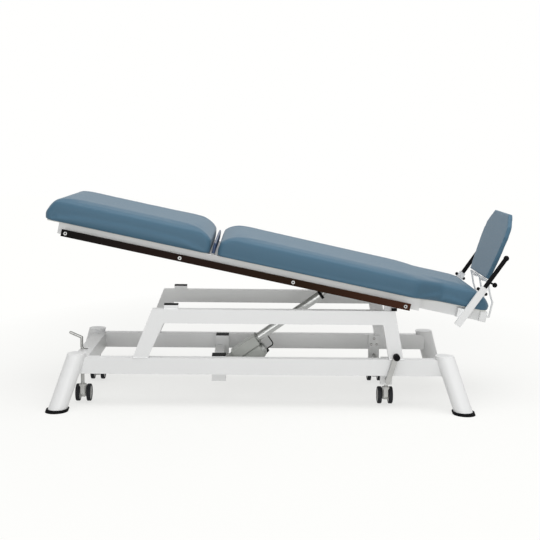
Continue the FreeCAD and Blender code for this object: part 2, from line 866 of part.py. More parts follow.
def bar_lugs():
    return both_sides(block(lug_x, lug_x + lug_length, foot_beam_outer_y, bar_y - bar_thickness / 2,
                            lug_low_z, lug_low_z + lug_height))


def bar_rod(low, high, radius):
    """Round rod along the bar's own axis."""
    return rod(Vector(0, bar_y, low), Vector(0, bar_y, high), radius)


def slide_bar():
    """Flat bar that slides in the tube, with a round core up inside the grip."""
    flat = bar_box(-bar_wall - slide_bar_clearance, slide_bar_low, bar_tube_length + soft_gap)
    top = bar_tube_length + grip_core_length
    return on_bar(flat.fuse(bar_rod(bar_tube_length, top, grip_core_diameter / 2)).removeSplitter())


def grip():
    """Round grip with a thicker rounded end."""
    low = bar_tube_length + soft_gap
    end_radius = grip_end_diameter / 2
    ball = Part.makeSphere(end_radius, Vector(0, bar_y, bar_length - end_radius))
    sleeve = bar_rod(low, bar_length - end_radius, grip_diameter / 2).fuse(ball)
    core = bar_rod(bar_tube_length, bar_tube_length + grip_core_length + running_gap,
                   grip_core_diameter / 2 + running_gap)
    return on_bar(sleeve.cut(core).removeSplitter())


def seated_ball(centre, direction, radius, seat):
    """Ball with a flat seat at a distance behind its centre."""
    return Part.makeSphere(radius, centre, direction, -math.degrees(math.asin(seat / radius)), 90)


def bar_knobs():
    """Clamping knobs on both edges of each tube, and the lock knob of the plate."""
    knobs = []
    for sign in (-1, 1):
        centre = Vector(sign * (bar_width / 2 + bar_knob_seat), bar_y, bar_knob_height)
        knobs.append(on_bar(seated_ball(centre, x_axis * sign, bar_knob_diameter / 2, bar_knob_seat)))
    start = Vector(plate_axis_x, lock_knob_y, plate_axis_z)
    end = start + Vector(lock_stem_length, 0, lock_stem_drop)
    seat = lock_knob_diameter / 2 - blend_radius / 2
    ball = seated_ball(end, end - start, lock_knob_diameter / 2, seat)
    stem = rod(start, end, lock_stem_diameter / 2).fuse(ball)
    bar = rod_y(plate_axis_x, plate_axis_z, -rail_half, rail_half, hinge_bar_diameter / 2)
    return both_sides(knobs) + [stem.cut(bar).removeSplitter()]


def plate_hinge_bar():
    radius = plate_rod_diameter / 2
    bar = rod_y(plate_axis_x, plate_axis_z, -hinge_bar_half_length, hinge_bar_half_length,
                hinge_bar_diameter / 2)
    mid_z = (foot_frame_low_z + frame_top_z) / 2
    rods = []
    for y in (-plate_rod_y, 0, plate_rod_y):
        rods.append(bent_rod([Vector(foot_end_foot_x, y, mid_z), Vector(plate_rod_foot_x, y, mid_z),
                              Vector(plate_rod_foot_x, y, plate_rod_bend_z),
                              Vector(plate_rod_top_x, y, plate_rod_top_z),
                              Vector(plate_axis_x, y, plate_axis_z)], radius))
    whole = bar.fuse(rods)
    flat = block(foot_end_foot_x, everything, -everything, everything, -everything, frame_top_z)
    high = block(-everything, everything, -everything, everything, frame_top_z, everything)
    return whole.common(flat.fuse(high)).removeSplitter()


def on_plate(shape):
    return leaned(shape, plate_axis_x, plate_axis_z, plate_lean)


def foot_plate_pad():
    points = [Vector(plate_front, inset - bar_y, plate_rise + height)
              for height, inset in plate_outline]
    points += [Vector(plate_front, -point.y, point.z) for point in reversed(points)]
    plate = Part.Face(Part.makePolygon(points + points[:1])).extrude(Vector(plate_thickness, 0, 0))
    return on_plate(plate.makeFillet(plate_edge_radius, plate.Edges))


def plate_clips():
    y0, y1 = plate_clip_span
    clip = block(-plate_clip_half_width, plate_clip_half_width, y0, y1, plate_clip_low, plate_rise)
    corners = [edge for edge in clip.Edges if edge.CenterOfMass.z < plate_clip_low + overrun / 2
               and edge.CenterOfMass.y == (y0 + y1) / 2]
    clip = clip.makeFillet(plate_clip_half_width / 2, corners) if corners else clip
    clip = clip.cut(rod_y(0, 0, -rail_half, rail_half, hinge_bar_diameter / 2 + running_gap))
    return both_sides(on_plate(clip))


# Lifting castors

def cam_shaft(x, z, direction, y, y0, y1):
    """Shaft along Y with a cam over each castor stem."""
    turn = math.radians(direction)
    cam_x = x + cam_offset * math.cos(turn)
    cam_z = z + cam_offset * math.sin(turn)
    cams = [rod_y(cam_x, cam_z, side * y - cam_width / 2, side * y + cam_width / 2, cam_radius)
            for side in (-1, 1)]
    return rod_y(x, z, y0, y1, cam_shaft_diameter / 2).fuse(cams)


def cam_shaft_head():
    reach = castor_head_y + cam_width / 2
    shaft = cam_shaft(castor_head_x, head_cam_shaft_z, 180.0 - cam_angle, castor_head_y, -reach, reach)
    points = [Vector(castor_head_x, pedal_y, head_cam_shaft_z)]
    points += [Vector(x, pedal_y, z) for x, z in pedal_points]
    pedal = bent_rod(points, pedal_rod_diameter / 2)
    return shaft.fuse([pedal, Part.makeSphere(pedal_rod_diameter / 2, points[-1])]).removeSplitter()


def cam_shaft_foot():
    lever_y = -rail_half - lever_gap
    end = lever_y - lever_thickness
    reach = rail_inner_y - housing_wall
    shaft = cam_shaft(castor_foot_x, foot_cam_shaft_z, cam_angle, castor_foot_y, end, reach)
    half = lever_width / 2
    low = Vector(castor_foot_x, 0, foot_cam_shaft_z)
    high = Vector(lever_top[0], 0, lever_top[1])
    lean = math.degrees(math.atan2(high.x - low.x, high.z - low.z))
    lever = block(-half, half, end, lever_y, 0, (high - low).Length)
    ends = [rod_y(0, 0, end, lever_y, half), rod_y(0, (high - low).Length, end, lever_y, half)]
    lever = leaned(lever.fuse(ends).removeSplitter(), low.x, low.z, lean)
    return shaft.fuse(lever).removeSplitter()


def pedal_grip():
    end = -rail_half - lever_gap - lever_thickness
    knob = rod_y(lever_top[0], lever_top[1], end - pedal_grip_length, end, pedal_grip_diameter / 2)
    return knob.makeFillet(blend_radius, [min(knob.Edges, key=lambda edge: edge.CenterOfMass.y)])


def cam_low_z(shaft_z):
    """Lowest point of a raised cam."""
    return shaft_z + cam_offset * math.sin(math.radians(cam_angle)) - cam_radius


def castor_stems(x, y, shaft_z):
    top = cam_low_z(shaft_z) - soft_gap
    stem = Part.makeCylinder(castor_stem_diameter / 2, top - castor_disc_top_z,
                             Vector(x, y, castor_disc_top_z))
    spigot = Part.makeCylinder(castor_spigot_diameter / 2, castor_disc_top_z - castor_spigot_low_z,
                               Vector(x, y, castor_spigot_low_z))
    return both_sides(stem.fuse(spigot).removeSplitter())


def castor_fork(x, y, trail):
    """Centre body with its turning disc and axle; y is the stem, trail leads to the middle."""
    half = castor_body_half_width
    axle_y = y - trail
    disc = Part.makeCylinder(castor_disc_diameter / 2, castor_disc_top_z - castor_disc_low_z,
                             Vector(x, y, castor_disc_low_z))
    hub = Part.makeCylinder(castor_body_radius, half * 2, Vector(x - half, axle_y, castor_axle_z), x_axis)
    web = block(x - half, x + half, axle_y - castor_body_radius, y + half, castor_axle_z,
                castor_disc_low_z)
    reach = castor_wheel_inner + castor_wheel_width
    axle = Part.makeCylinder(castor_axle_diameter / 2, reach * 2,
                             Vector(x - reach, axle_y, castor_axle_z), x_axis)
    bore = Part.makeCylinder(castor_spigot_diameter / 2 + running_gap, everything,
                             Vector(x, y, castor_spigot_low_z - soft_gap))
    return disc.fuse([hub, web]).cut(bore).fuse(axle).removeSplitter()


def castor_wheels(x, y, trail):
    wheels = []
    for start in (x + castor_wheel_inner, x - castor_wheel_inner - castor_wheel_width):
        wheel = Part.makeCylinder(castor_wheel_diameter / 2, castor_wheel_width,
                                  Vector(start, y - trail, castor_axle_z), x_axis)
        wheel = wheel.makeFillet(wheel_edge_radius, [edge for edge in wheel.Edges if edge.Closed])
        bore = Part.makeCylinder(castor_axle_diameter / 2 + running_gap, castor_wheel_width,
                                 Vector(start, y - trail, castor_axle_z), x_axis)
        wheels.append(wheel.cut(bore))
    return wheels


def castor_places():
    """Name, stem position and trail of each castor, for the rear side."""
    return (("head", castor_head_x, castor_head_y, castor_head_trail),
            ("foot", castor_foot_x, castor_foot_y, castor_foot_trail))


# All pieces

def fixed_pieces():
    rail = base_rail()
    return {"legs": legs(), "rubber_feet": rubber_feet(), "base_rail_rear": rail,
            "base_rail_front": mirrored(rail), "head_cross_member": head_cross_member(),
            "upper_rails": upper_rails(), "frame_arms": frame_arms(), "rest_stubs": rest_stubs(),
            "rest_pads": rest_pads(), "actuator_posts": actuator_posts(), "post_caps": post_caps(),
            "actuator_cross_tube": actuator_cross_tube(),
            "actuator_base_bracket": actuator_base_bracket(),
            "castor_housings": castor_housings(), "tilt_bearing_blocks": tilt_bearing_blocks(),
            "tilt_buffers": tilt_buffers()}


def actuator_pieces():
    return {"actuator_housing": actuator_housing(), "actuator_motor": actuator_motor(),
            "actuator_tube": actuator_tube(), "actuator_tube_cap": actuator_tube_cap(),
            "motor_lead": motor_lead(), "actuator_rod": actuator_rod(),
            "actuator_front_pin": actuator_front_pin()}


def table_pieces():
    """Pieces drawn in the table's flat frame."""
    return {"side_tubes": side_tubes(), "frame_cross_tubes": frame_cross_tubes(),
            "foot_frame": foot_frame(), "accessory_rails": accessory_rails(),
            "rail_screws": rail_screws(), "rail_spacers": rail_spacers(), "tilt_pins": tilt_pins(),
            "main_panel": main_panel(), "main_cushion": main_cushion(),
            "actuator_ears": actuator_ears(), "hinge_leaf_fixed": hinge_leaf_fixed(),
            "bar_tubes": bar_tubes(), "bar_lugs": bar_lugs(),
            "plate_hinge_bar": plate_hinge_bar(), "bar_knobs": bar_knobs(),
            "head_panel": head_panel(),
            "hinge_leaf_moving": hinge_leaf_moving(), "head_cushion": head_cushion(),
            "slide_bar_rear": slide_bar(), "slide_bar_front": mirrored(slide_bar()),
            "grip_rear": grip(), "grip_front": mirrored(grip()),
            "foot_plate_pad": foot_plate_pad(), "plate_clips": plate_clips()}


def castor_pieces():
    pieces = {"cam_shaft_head": cam_shaft_head(), "cam_shaft_foot": cam_shaft_foot(),
              "pedal_grip": pedal_grip(),
              "castor_stems_head": castor_stems(castor_head_x, castor_head_y, head_cam_shaft_z),
              "castor_stems_foot": castor_stems(castor_foot_x, castor_foot_y, foot_cam_shaft_z)}
    for end, x, y, trail in castor_places():
        fork = castor_fork(x, y, trail)
        wheels = castor_wheels(x, y, trail)
        pieces["castor_fork_" + end + "_rear"] = fork
        pieces["castor_wheels_" + end + "_rear"] = wheels
        pieces["castor_fork_" + end + "_front"] = mirrored(fork)
        pieces["castor_wheels_" + end + "_front"] = [mirrored(wheel) for wheel in wheels]
    return pieces


def as_list(shapes):
    return shapes if isinstance(shapes, list) else [shapes]


def all_pieces():
    """Every piece in the base's frame, by name, as a list of shapes."""
    pieces = {}
    for group in (fixed_pieces(), actuator_pieces(), castor_pieces()):
        for name, shapes in group.items():
            pieces[name] = as_list(shapes)
    for name, shapes in table_pieces().items():
        pieces[name] = [on_table(shape) for shape in as_list(shapes)]
    return pieces


def middle_x(pieces):
    """Middle of the overall length, which becomes X = 0 in the files."""
    boxes = [shape.optimalBoundingBox() for name in ("head_cushion", "foot_plate_pad")
             for shape in pieces[name]]
    return (min(box.XMin for box in boxes) + max(box.XMax for box in boxes)) / 2


def save(name, shapes, shift):
    solids = []
    for shape in shapes:
        solids.extend(shape.Solids)
    group = solids[0].copy() if len(solids) == 1 else Part.makeCompound(solids)
    group.translate(Vector(shift, 0, 0))
    if not group.isValid():
        print("not valid:", name)
    group.exportStep("parts/" + name + ".step")


def main():
    os.makedirs("parts", exist_ok=True)
    pieces = all_pieces()
    shift = -middle_x(pieces)
    for name, shapes in pieces.items():
        save(name, shapes, shift)
    print(len(pieces), "pieces, moved by", round(shift, 3))


if __name__ == "__main__":
    main()
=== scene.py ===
"""Dresses the tilt table: cushions, gap flap, wheels, plugs, welds, bolts, drive and stage."""
import json
import math

import bmesh
import bpy
import numpy as np
from bpy.props import FloatProperty, FloatVectorProperty, IntProperty, PointerProperty
from mathutils import Matrix, Vector


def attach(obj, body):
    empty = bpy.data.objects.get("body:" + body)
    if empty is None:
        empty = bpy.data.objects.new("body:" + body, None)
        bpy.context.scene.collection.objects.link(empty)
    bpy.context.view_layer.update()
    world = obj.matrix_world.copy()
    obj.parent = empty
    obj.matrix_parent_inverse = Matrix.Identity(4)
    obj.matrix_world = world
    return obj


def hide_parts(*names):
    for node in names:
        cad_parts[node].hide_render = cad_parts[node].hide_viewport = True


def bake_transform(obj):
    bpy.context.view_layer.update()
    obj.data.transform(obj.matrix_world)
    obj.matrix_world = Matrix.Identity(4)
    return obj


bl_info = {
    "name": "Tilt table dressing",
    "version": (1, 0, 0),
    "blender": (4, 5, 0),
    "location": "View3D > Sidebar > Tilt table",
    "description": "Builds the soft parts, trim, finishes and stage of a padded tilt table",
    "category": "Object",
}

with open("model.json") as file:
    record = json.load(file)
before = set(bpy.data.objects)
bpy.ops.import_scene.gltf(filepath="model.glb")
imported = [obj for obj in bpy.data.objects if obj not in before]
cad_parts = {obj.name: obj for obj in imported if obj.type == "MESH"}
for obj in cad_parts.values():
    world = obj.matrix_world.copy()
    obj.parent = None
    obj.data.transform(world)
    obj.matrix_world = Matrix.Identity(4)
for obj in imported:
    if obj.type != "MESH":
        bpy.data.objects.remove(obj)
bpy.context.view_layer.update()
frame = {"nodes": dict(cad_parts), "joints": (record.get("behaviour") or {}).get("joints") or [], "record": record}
nodes = frame["nodes"]
joint_of = {joint["name"]: joint for joint in frame["joints"]}
slot_of = {part["node"]: part["material_slot"] for part in frame["record"]["subparts"]}

# The table top's own flat frame: x along the top from the tilt axis, z square to it
TOP_TILT = math.radians(11.7)
TILT_AXIS = Vector(joint_of["table_tilt"]["pos_m"])
TOP = Matrix.Translation(TILT_AXIS) @ Matrix.Rotation(TOP_TILT, 4, "Y")
# The base counts x from the middle of the feet, and the frame from the middle of the whole length
AXIS_FROM_FEET = 0.545
SHIFT = TILT_AXIS.x - AXIS_FROM_FEET

# Places on the base, in metres
RAIL_OUTER_Y = 0.300
RAIL_INNER_Y = 0.260
BASE_RAIL_LOW = 0.145
BASE_RAIL_TOP = 0.215
UPPER_RAIL_TOP = 0.425
ARM_FEET = ((-0.547, -0.482), (0.545, 0.606))
REST_STUB_X = (-0.413, -0.354)
REST_STUB_Y = (0.295, 0.265)
TILT_BLOCK_X = (0.522, 0.566)
TILT_BLOCK_Y = 0.262
POST_X = (-0.212, -0.152)
POST_INNER_Y = 0.200
CROSS_TUBE_X = (-0.212, -0.172)
CROSS_TUBE_Z = (0.134, 0.172)
HOUSING_INNER_Y = 0.236
HOUSING_BOLTS = ((0.527, 0.172), (0.553, 0.172), (0.540, 0.200))

# Places on the top, in its flat frame
SIDE_TUBE_HEAD_X = -1.436
SIDE_TUBE_Y = 0.243
SIDE_TUBE_SIZE = (0.030, 0.050)
SIDE_TUBE_Z = 0.015
FOOT_TUBE_X = 0.418
FOOT_TUBE_END_Y = 0.212
FOOT_TUBE_SIZE = (0.030, 0.045)
FOOT_TUBE_Z = 0.0175
LUG_X = (0.300, 0.344)
LUG_Z = (-0.005, 0.035)
LUG_Y = 0.200
CUSHION_SEAT_Z = 0.049
RAIL_FACE_Y = 0.312
FIRST_SCREW_X = -1.396
SCREW_PITCH = 0.486
SCREWS_IN_A_RAIL = 4
SCREW_Z = 0.0035
SCREW_SOCKET_DEPTH = 0.0015
FRONT_PIN = Vector((-0.19538, 0.0, 0.01315))


# Settings

def length(name, text, value, low=0.0, high=10.0):
    return FloatProperty(name=name, description=text, default=value, min=low, max=high,
                         unit="LENGTH", precision=4)


def tint(name, text, value):
    return FloatVectorProperty(name=name, description=text, default=value, size=3, min=0.0,
                               max=1.0, subtype="COLOR")


class CushionSettings(bpy.types.PropertyGroup):
    voxel: length("Mesh size", "Spacing of the points of the vinyl skin", 0.008, 0.003, 0.02)
    swell: length("Most swell", "How far the filling may push the vinyl out", 0.0035, 0.0, 0.02)
    plate_voxel: length("Plate mesh size", "Spacing of the points of the foot plate's skin",
                        0.004, 0.002, 0.02)
    plate_swell: length("Plate swell", "How far the foot plate's filling may push out", 0.0014,
                        0.0, 0.02)
    pressure: FloatProperty(name="Filling pressure", description="Pressure inside the cover",
                            default=3.5, min=0.0, max=20.0)
    steps: IntProperty(name="Settling steps", description="Simulation steps for the vinyl",
                       default=20, min=2, max=60)
    grain: length("Grain size", "Spacing of the grain pressed into the vinyl", 0.0011)
    colour: tint("Vinyl", "Colour of the cushion covers", (0.050, 0.127, 0.194))
    # Darker tone for random patches, and the painted shade in the grooves of the grain.
    tone_and_groove_shade: tint("Worn vinyl", "Colour of the vinyl in its darker patches", (0.042, 0.110, 0.170))
    # The flap's colour is much darker than the cushions' vinyl: painted shade of the gap.
    flap: tint("Flap", "Colour of the vinyl flap in the gap", (0.008, 0.022, 0.062))


class FrameSettings(bpy.types.PropertyGroup):
    coat: tint("Powder coat", "Colour of the coated steel", (0.82, 0.825, 0.825))
    bead: length("Weld bead", "Radius of a weld bead", 0.0022, 0.0005, 0.01)
    # The rails' colours are a painted reflection of a dark room, near black at the head end and reddish brown at
    # the foot end.
    rail_head_reflection: tint("Rail, head end", "Colour of the accessory rail at the head end",
                    (0.0012, 0.0009, 0.0008))
    rail_foot_reflection: tint("Rail, foot end", "Colour of the accessory rail at the foot end",
                    (0.052, 0.019, 0.010))


class WheelSettings(bpy.types.PropertyGroup):
    tread: tint("Tread", "Colour of the wheel treads", (0.030, 0.031, 0.034))
    hub: tint("Hub", "Colour of the wheel hubs", (0.42, 0.42, 0.41))
    steps: IntProperty(name="Facets", description="Facets round a wheel", default=72, min=24,
                       max=160)


class StageSettings(bpy.types.PropertyGroup):
    floor: tint("Floor", "Colour of the floor", (0.90, 0.90, 0.875))
    key: FloatProperty(name="Key light", description="Power of the large lamp overhead",
                       default=98.0, min=0.0, subtype="POWER")
    fill: FloatProperty(name="Fill light", description="Power of the lamp beside the camera",
                        default=98.0, min=0.0, subtype="POWER")
    sky: FloatProperty(name="Room light", description="Strength of the even light all round",
                       default=0.46, min=0.0)


# Shader arithmetic

class Value:
    """A number or colour socket that takes part in Python arithmetic."""

    def __init__(self, paint, socket):
        self.paint = paint
        self.socket = socket

    def _with(self, operation, first, second):
        return self.paint.out("ShaderNodeMath", {"operation": operation}, {0: first, 1: second})

    def __add__(self, other):
        return self._with("ADD", self, other)

    def __sub__(self, other):
        return self._with("SUBTRACT", self, other)

    def __rsub__(self, other):
        return self._with("SUBTRACT", other, self)

    def __mul__(self, other):
        return self._with("MULTIPLY", self, other)

    def __pow__(self, other):
        return self._with("POWER", self, other)


class Paint:
    """A material that is put together from procedural nodes."""

    def __init__(self, name):
        self.material = bpy.data.materials.new(name)
        self.material.use_nodes = True
        self.tree = self.material.node_tree
        self.tree.nodes.clear()
        self.end = self.tree.nodes.new("ShaderNodeOutputMaterial")

    def feed(self, socket, value):
        """Links a Value to a socket, or sets the socket to a constant."""
        if isinstance(value, Value):
            self.tree.links.new(value.socket, socket)
        elif isinstance(value, (tuple, list)) and socket.type == "RGBA":
            socket.default_value = (*value[:3], 1.0)
        else:
            socket.default_value = value

    def node(self, kind, settings=None, sockets=None):
        """Adds a node with its settings and inputs."""
        made = self.tree.nodes.new(kind)
        for key, value in (settings or {}).items():
            if key == "stops":
                ramp = made.color_ramp
                while len(ramp.elements) < len(value):
                    ramp.elements.new(0.5)
                for element, (place, colour) in zip(ramp.elements, value):
                    element.position = place
                    element.color = (*colour, 1.0)
            else:
                setattr(made, key, value)
        for key, value in (sockets or {}).items():
            self.feed(made.inputs[key], value)
        return made

    def out(self, kind, settings=None, sockets=None, output=0):
        """Adds a node and gives one of its outputs."""
        return Value(self, self.node(kind, settings, sockets).outputs[output])

    def place(self):
        return self.out("ShaderNodeTexCoord", output="Object")

    def parts(self, vector):
        """The x, y and z of a vector socket."""
        split = self.node("ShaderNodeSeparateXYZ", None, {0: vector})
        return [Value(self, split.outputs[i]) for i in range(3)]

    def noise(self, vector, size, detail=3.0, roughness=0.5):
        return self.out("ShaderNodeTexNoise", None, {"Vector": vector, "Scale": 1.0 / size,
                                                     "Detail": detail, "Roughness": roughness})

    def cells(self, vector, size):
        """Distance to the edge of the nearest cell of a grain."""
        return self.out("ShaderNodeTexVoronoi", {"feature": "DISTANCE_TO_EDGE"},
                        {"Vector": vector, "Scale": 1.0 / size})

    def span(self, value, low, high):
        """Share of the way from low to high, kept between 0 and 1."""
        return self.out("ShaderNodeMapRange", {"clamp": True}, {0: value, 1: low, 2: high})

    def mix(self, factor, first, second):
        return self.out("ShaderNodeMix", {"data_type": "RGBA"}, {0: factor, 6: first, 7: second},
                        2)

    def ramp(self, factor, stops):
        return self.out("ShaderNodeValToRGB", {"stops": stops}, {0: factor})

    def bump(self, height, distance, strength=1.0, under=None):
        sockets = {"Height": height, "Distance": distance, "Strength": strength}
        if under is not None:
            sockets["Normal"] = under
        return self.out("ShaderNodeBump", None, sockets)

    def stretched(self, vector, scales):
        return self.out("ShaderNodeMapping", None, {"Vector": vector, "Scale": scales})

    def surface(self, **sockets):
        """Ends the material in one principled shader, its inputs named as keywords."""
        names = {key.replace("_", " ").title().replace("Ior", "IOR"): value
                 for key, value in sockets.items()}
        shader = self.out("ShaderNodeBsdfPrincipled", None, names)
        self.tree.links.new(shader.socket, self.end.inputs["Surface"])
        return self.material


# Finishes

def coated_steel(name, colour, roughness=0.34):
    """Smooth powder coat with a faint orange peel and a little dust in broad patches."""
    paint = Paint(name)
    where = paint.place()
    patches = paint.noise(where, size=0.35, detail=2.0)
    peel = paint.noise(where, size=0.0016, detail=2.0)
    dusty = tuple(part * 0.965 for part in colour)
    return paint.surface(base_color=paint.mix(patches, dusty, colour),
                         roughness=patches * 0.08 + (roughness - 0.04),
                         normal=paint.bump(peel, distance=0.00012, strength=0.35))


def grained_vinyl(name, colour, tone_and_groove_shade, grain):
    """Padded vinyl: fine pressed grain over slow variations of tone and shine. The grain's grooves are painted a
    little darker, a painted shade.
    """
    paint = Paint(name)
    where = paint.place()
    patches = paint.noise(where, size=0.22)
    cells = paint.span(paint.cells(where, grain), low=0.0, high=0.18)
    pull = paint.noise(where, size=0.05, detail=2.0, roughness=0.4)
    soft = paint.bump(pull, distance=0.0012, strength=0.30)
    # Darker in random patches, which is real tone, and darker in the grain's grooves, which is painted shade.
    colours = paint.mix(patches * 0.8 + cells * 0.2, tone_and_groove_shade, colour)
    return paint.surface(base_color=colours, roughness=0.56 - cells * 0.12 + patches * 0.05,
                         normal=paint.bump(cells, distance=0.00010, strength=0.6, under=soft),
                         specular_ior_level=0.4, sheen_weight=0.14, sheen_roughness=0.5)


def flap_vinyl(name, colour):
    """Thin glossy vinyl of the flap. Its colour is darkened well below the cushions' vinyl as painted shade of the
    gap. It has fine creases across it, painted lighter in streaks where they stand up, a painted highlight.
    """
    paint = Paint(name)
    where = paint.place()
    creases = paint.noise(paint.stretched(where, scales=(90.0, 14.0, 90.0)), size=1.0)
    # Lighter streaks where the creases stand up: painted highlight.
    lighter = tuple(min(1.0, part * 2.2) for part in colour)
    return paint.surface(base_color=paint.mix(creases, colour, lighter),
                         roughness=creases * 0.15 + 0.28,
                         normal=paint.bump(creases, distance=0.0006, strength=0.5))


def brown_rail(name, head, foot):
    """Glossy dark accessory rails. Their colour is a painted reflection of a dark room: near black at the head
    end, warmer and redder towards the foot end.
    """
    paint = Paint(name)
    where = paint.place()
    along = paint.parts(where)[0]
    # Painted reflection: the tone runs from near black at the head end to reddish brown at the foot end.
    share = paint.span(along, low=-0.93, high=0.52)
    middle = tuple(part * 0.22 for part in foot)
    late = (foot[0] * 0.38, foot[1] * 0.44, foot[2] * 0.28)
    colour = paint.ramp(share, [(0.0, head), (0.30, middle), (0.72, late), (1.0, foot)])
    streaks = paint.noise(paint.stretched(where, scales=(3.0, 300.0, 300.0)), size=1.0,
                          detail=2.0)
    return paint.surface(base_color=colour, roughness=streaks * 0.14 + 0.20,
                         normal=paint.bump(streaks, distance=0.0001, strength=0.3),
                         specular_ior_level=0.05)


def black_rubber(name, colour, roughness=0.62):
    """Dull rubber with fine pits and a little dust."""
    paint = Paint(name)
    where = paint.place()
    dust = paint.noise(where, size=0.03, detail=4.0)
    pits = paint.noise(where, size=0.0009, detail=2.0)
    worn = tuple(part * 1.4 + 0.002 for part in colour)
    return paint.surface(base_color=paint.mix(dust, colour, worn),
                         roughness=dust * 0.2 + (roughness - 0.1),
                         normal=paint.bump(pits, distance=0.00015, strength=0.5),
                         specular_ior_level=0.03)


def moulded_plastic(name, colour, roughness=0.36, shine=0.5):
    """Spark-eroded plastic with a satin shine."""
    paint = Paint(name)
    where = paint.place()
    texture = paint.cells(where, size=0.0007)
    patches = paint.noise(where, size=0.06)
    lighter = tuple(min(1.0, part * 1.12 + 0.003) for part in colour)
    return paint.surface(base_color=paint.mix(patches, colour, lighter),
                         roughness=patches * 0.1 + roughness, specular_ior_level=shine,
                         normal=paint.bump(texture, distance=0.00008, strength=0.5))


def turned_steel(name, colour, roughness=0.28, lines=(500.0, 40.0, 500.0)):
    """Bright metal with fine drawn lines along its length."""
    paint = Paint(name)
    where = paint.place()
    drawn = paint.noise(paint.stretched(where, lines), size=1.0)
    stains = paint.noise(where, size=0.04)
    dull = tuple(part * 0.72 for part in colour)
    return paint.surface(base_color=paint.mix(stains, dull, colour), metallic=1.0,
                         roughness=drawn * 0.16 + roughness,
                         normal=paint.bump(drawn, distance=0.00006, strength=0.5))


def board_edge(name, colour):
    """White laminate with a faint fibre grain on its edges."""
    paint = Paint(name)
    where = paint.place()
    fibre = paint.noise(paint.stretched(where, scales=(8.0, 8.0, 400.0)), size=1.0)
    darker = (colour[0] * 0.93, colour[1] * 0.92, colour[2] * 0.88)
    return paint.surface(base_color=paint.mix(fibre, darker, colour),
                         roughness=fibre * 0.1 + 0.42,
                         normal=paint.bump(fibre, distance=0.0001, strength=0.4))


def finishes():
    """One finish for each material slot of the record."""
    cushions = bpy.context.scene.tilt_cushions
    metals = bpy.context.scene.tilt_frame
    wheels = bpy.context.scene.tilt_wheels
    black = (0.006, 0.006, 0.0065)
    return {
        "white_coat": coated_steel("white_coat", tuple(metals.coat)),
        "panel_white": board_edge("panel_white", (0.78, 0.78, 0.75)),
        "blue_vinyl": grained_vinyl("blue_vinyl", tuple(cushions.colour), tuple(cushions.tone_and_groove_shade),
                                    cushions.grain),
        "brown_rail": brown_rail("brown_rail", tuple(metals.rail_head_reflection), tuple(metals.rail_foot_reflection)),
        "black_rubber": black_rubber("black_rubber", black),
        "black_plastic": moulded_plastic("black_plastic", black, roughness=0.50, shine=0.03),
        "bright_steel": turned_steel("bright_steel", (0.42, 0.42, 0.41)),
        "grey_housing": moulded_plastic("grey_housing", (0.46, 0.475, 0.45), roughness=0.40),
        "motor_metal": turned_steel("motor_metal", (0.40, 0.41, 0.40), roughness=0.42),
        "tube_metal": turned_steel("tube_metal", (0.56, 0.57, 0.56), roughness=0.30,
                                   lines=(60.0, 600.0, 60.0)),
        "castor_body": moulded_plastic("castor_body", (0.56, 0.56, 0.54), roughness=0.38),
        "castor_tyre": black_rubber("castor_tyre", tuple(wheels.tread), roughness=0.55),
        "light_metal": turned_steel("light_metal", (0.66, 0.67, 0.68), roughness=0.26),
    }


finish_of = {}


def finish(slot):
    """The finish of a slot. All are made at the first call."""
    if not finish_of:
        finish_of.update(finishes())
    return finish_of[slot]


# Mesh helpers

def new_piece(name, mesh, slot, body, material=None):
    """Adds a mesh as a piece with its slot's finish or another material, riding on a body."""
    piece = bpy.data.objects.new(name, mesh)
    bpy.context.scene.collection.objects.link(piece)
    mesh.materials.clear()
    mesh.materials.append(material or finish(slot))
    if body:
        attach(piece, body)
    return piece


def smooth(mesh):
    """Shades all faces smooth."""
    mesh.polygons.foreach_set("use_smooth", [True] * len(mesh.polygons))
    mesh.update()


def with_modifiers(piece):
    """Puts the piece's modifiers into its mesh."""
    bpy.context.view_layer.update()
    depsgraph = bpy.context.evaluated_depsgraph_get()
    made = bpy.data.meshes.new_from_object(piece.evaluated_get(depsgraph))
    piece.modifiers.clear()
    old = piece.data
    piece.data = made
    if old.users == 0:
        bpy.data.meshes.remove(old)
    return made


def rounded_block(size, radius, segments=4):
    """Mesh of a box with rounded edges, centred on the origin."""
    shape = bmesh.new()
    bmesh.ops.create_cube(shape, size=1.0, matrix=Matrix.Diagonal((*size, 1.0)))
    bmesh.ops.bevel(shape, geom=list(shape.edges), offset=radius, segments=segments, profile=0.5,
                    affect="EDGES")
    mesh = bpy.data.meshes.new("rounded_block")
    shape.to_mesh(mesh)
    shape.free()
    smooth(mesh)
    return mesh


def lathe(profile, steps, close=False):
    """Mesh turned about X from (x, radius) points."""
    shape = bmesh.new()
    rings = []
    for x, radius in profile:
        ring = []
        for k in range(steps):
            turn = 2 * math.pi * k / steps
            ring.append(shape.verts.new((x, radius * math.cos(turn), radius * math.sin(turn))))
        rings.append(ring)
    pairs = list(zip(rings, rings[1:]))
    if close:
        pairs.append((rings[-1], rings[0]))
    for first, second in pairs:
        for k in range(steps):
            ahead = (k + 1) % steps
            shape.faces.new((first[k], first[ahead], second[ahead], second[k]))
    if not close:
        shape.faces.new(rings[0][::-1])
        shape.faces.new(rings[-1])
    bmesh.ops.recalc_face_normals(shape, faces=list(shape.faces))
    mesh = bpy.data.meshes.new("lathe")
    shape.to_mesh(mesh)
    shape.free()
    smooth(mesh)
    return mesh


def joined(meshes):
    """One mesh from several, which are used up."""
    shape = bmesh.new()
    for mesh in meshes:
        shape.from_mesh(mesh)
        bpy.data.meshes.remove(mesh)
    whole = bpy.data.meshes.new("joined")
    shape.to_mesh(whole)
    shape.free()
    return whole


def moved(mesh, matrix):
    mesh.transform(matrix)
    return mesh


def at(x, y, z):
    return Matrix.Translation((x, y, z))


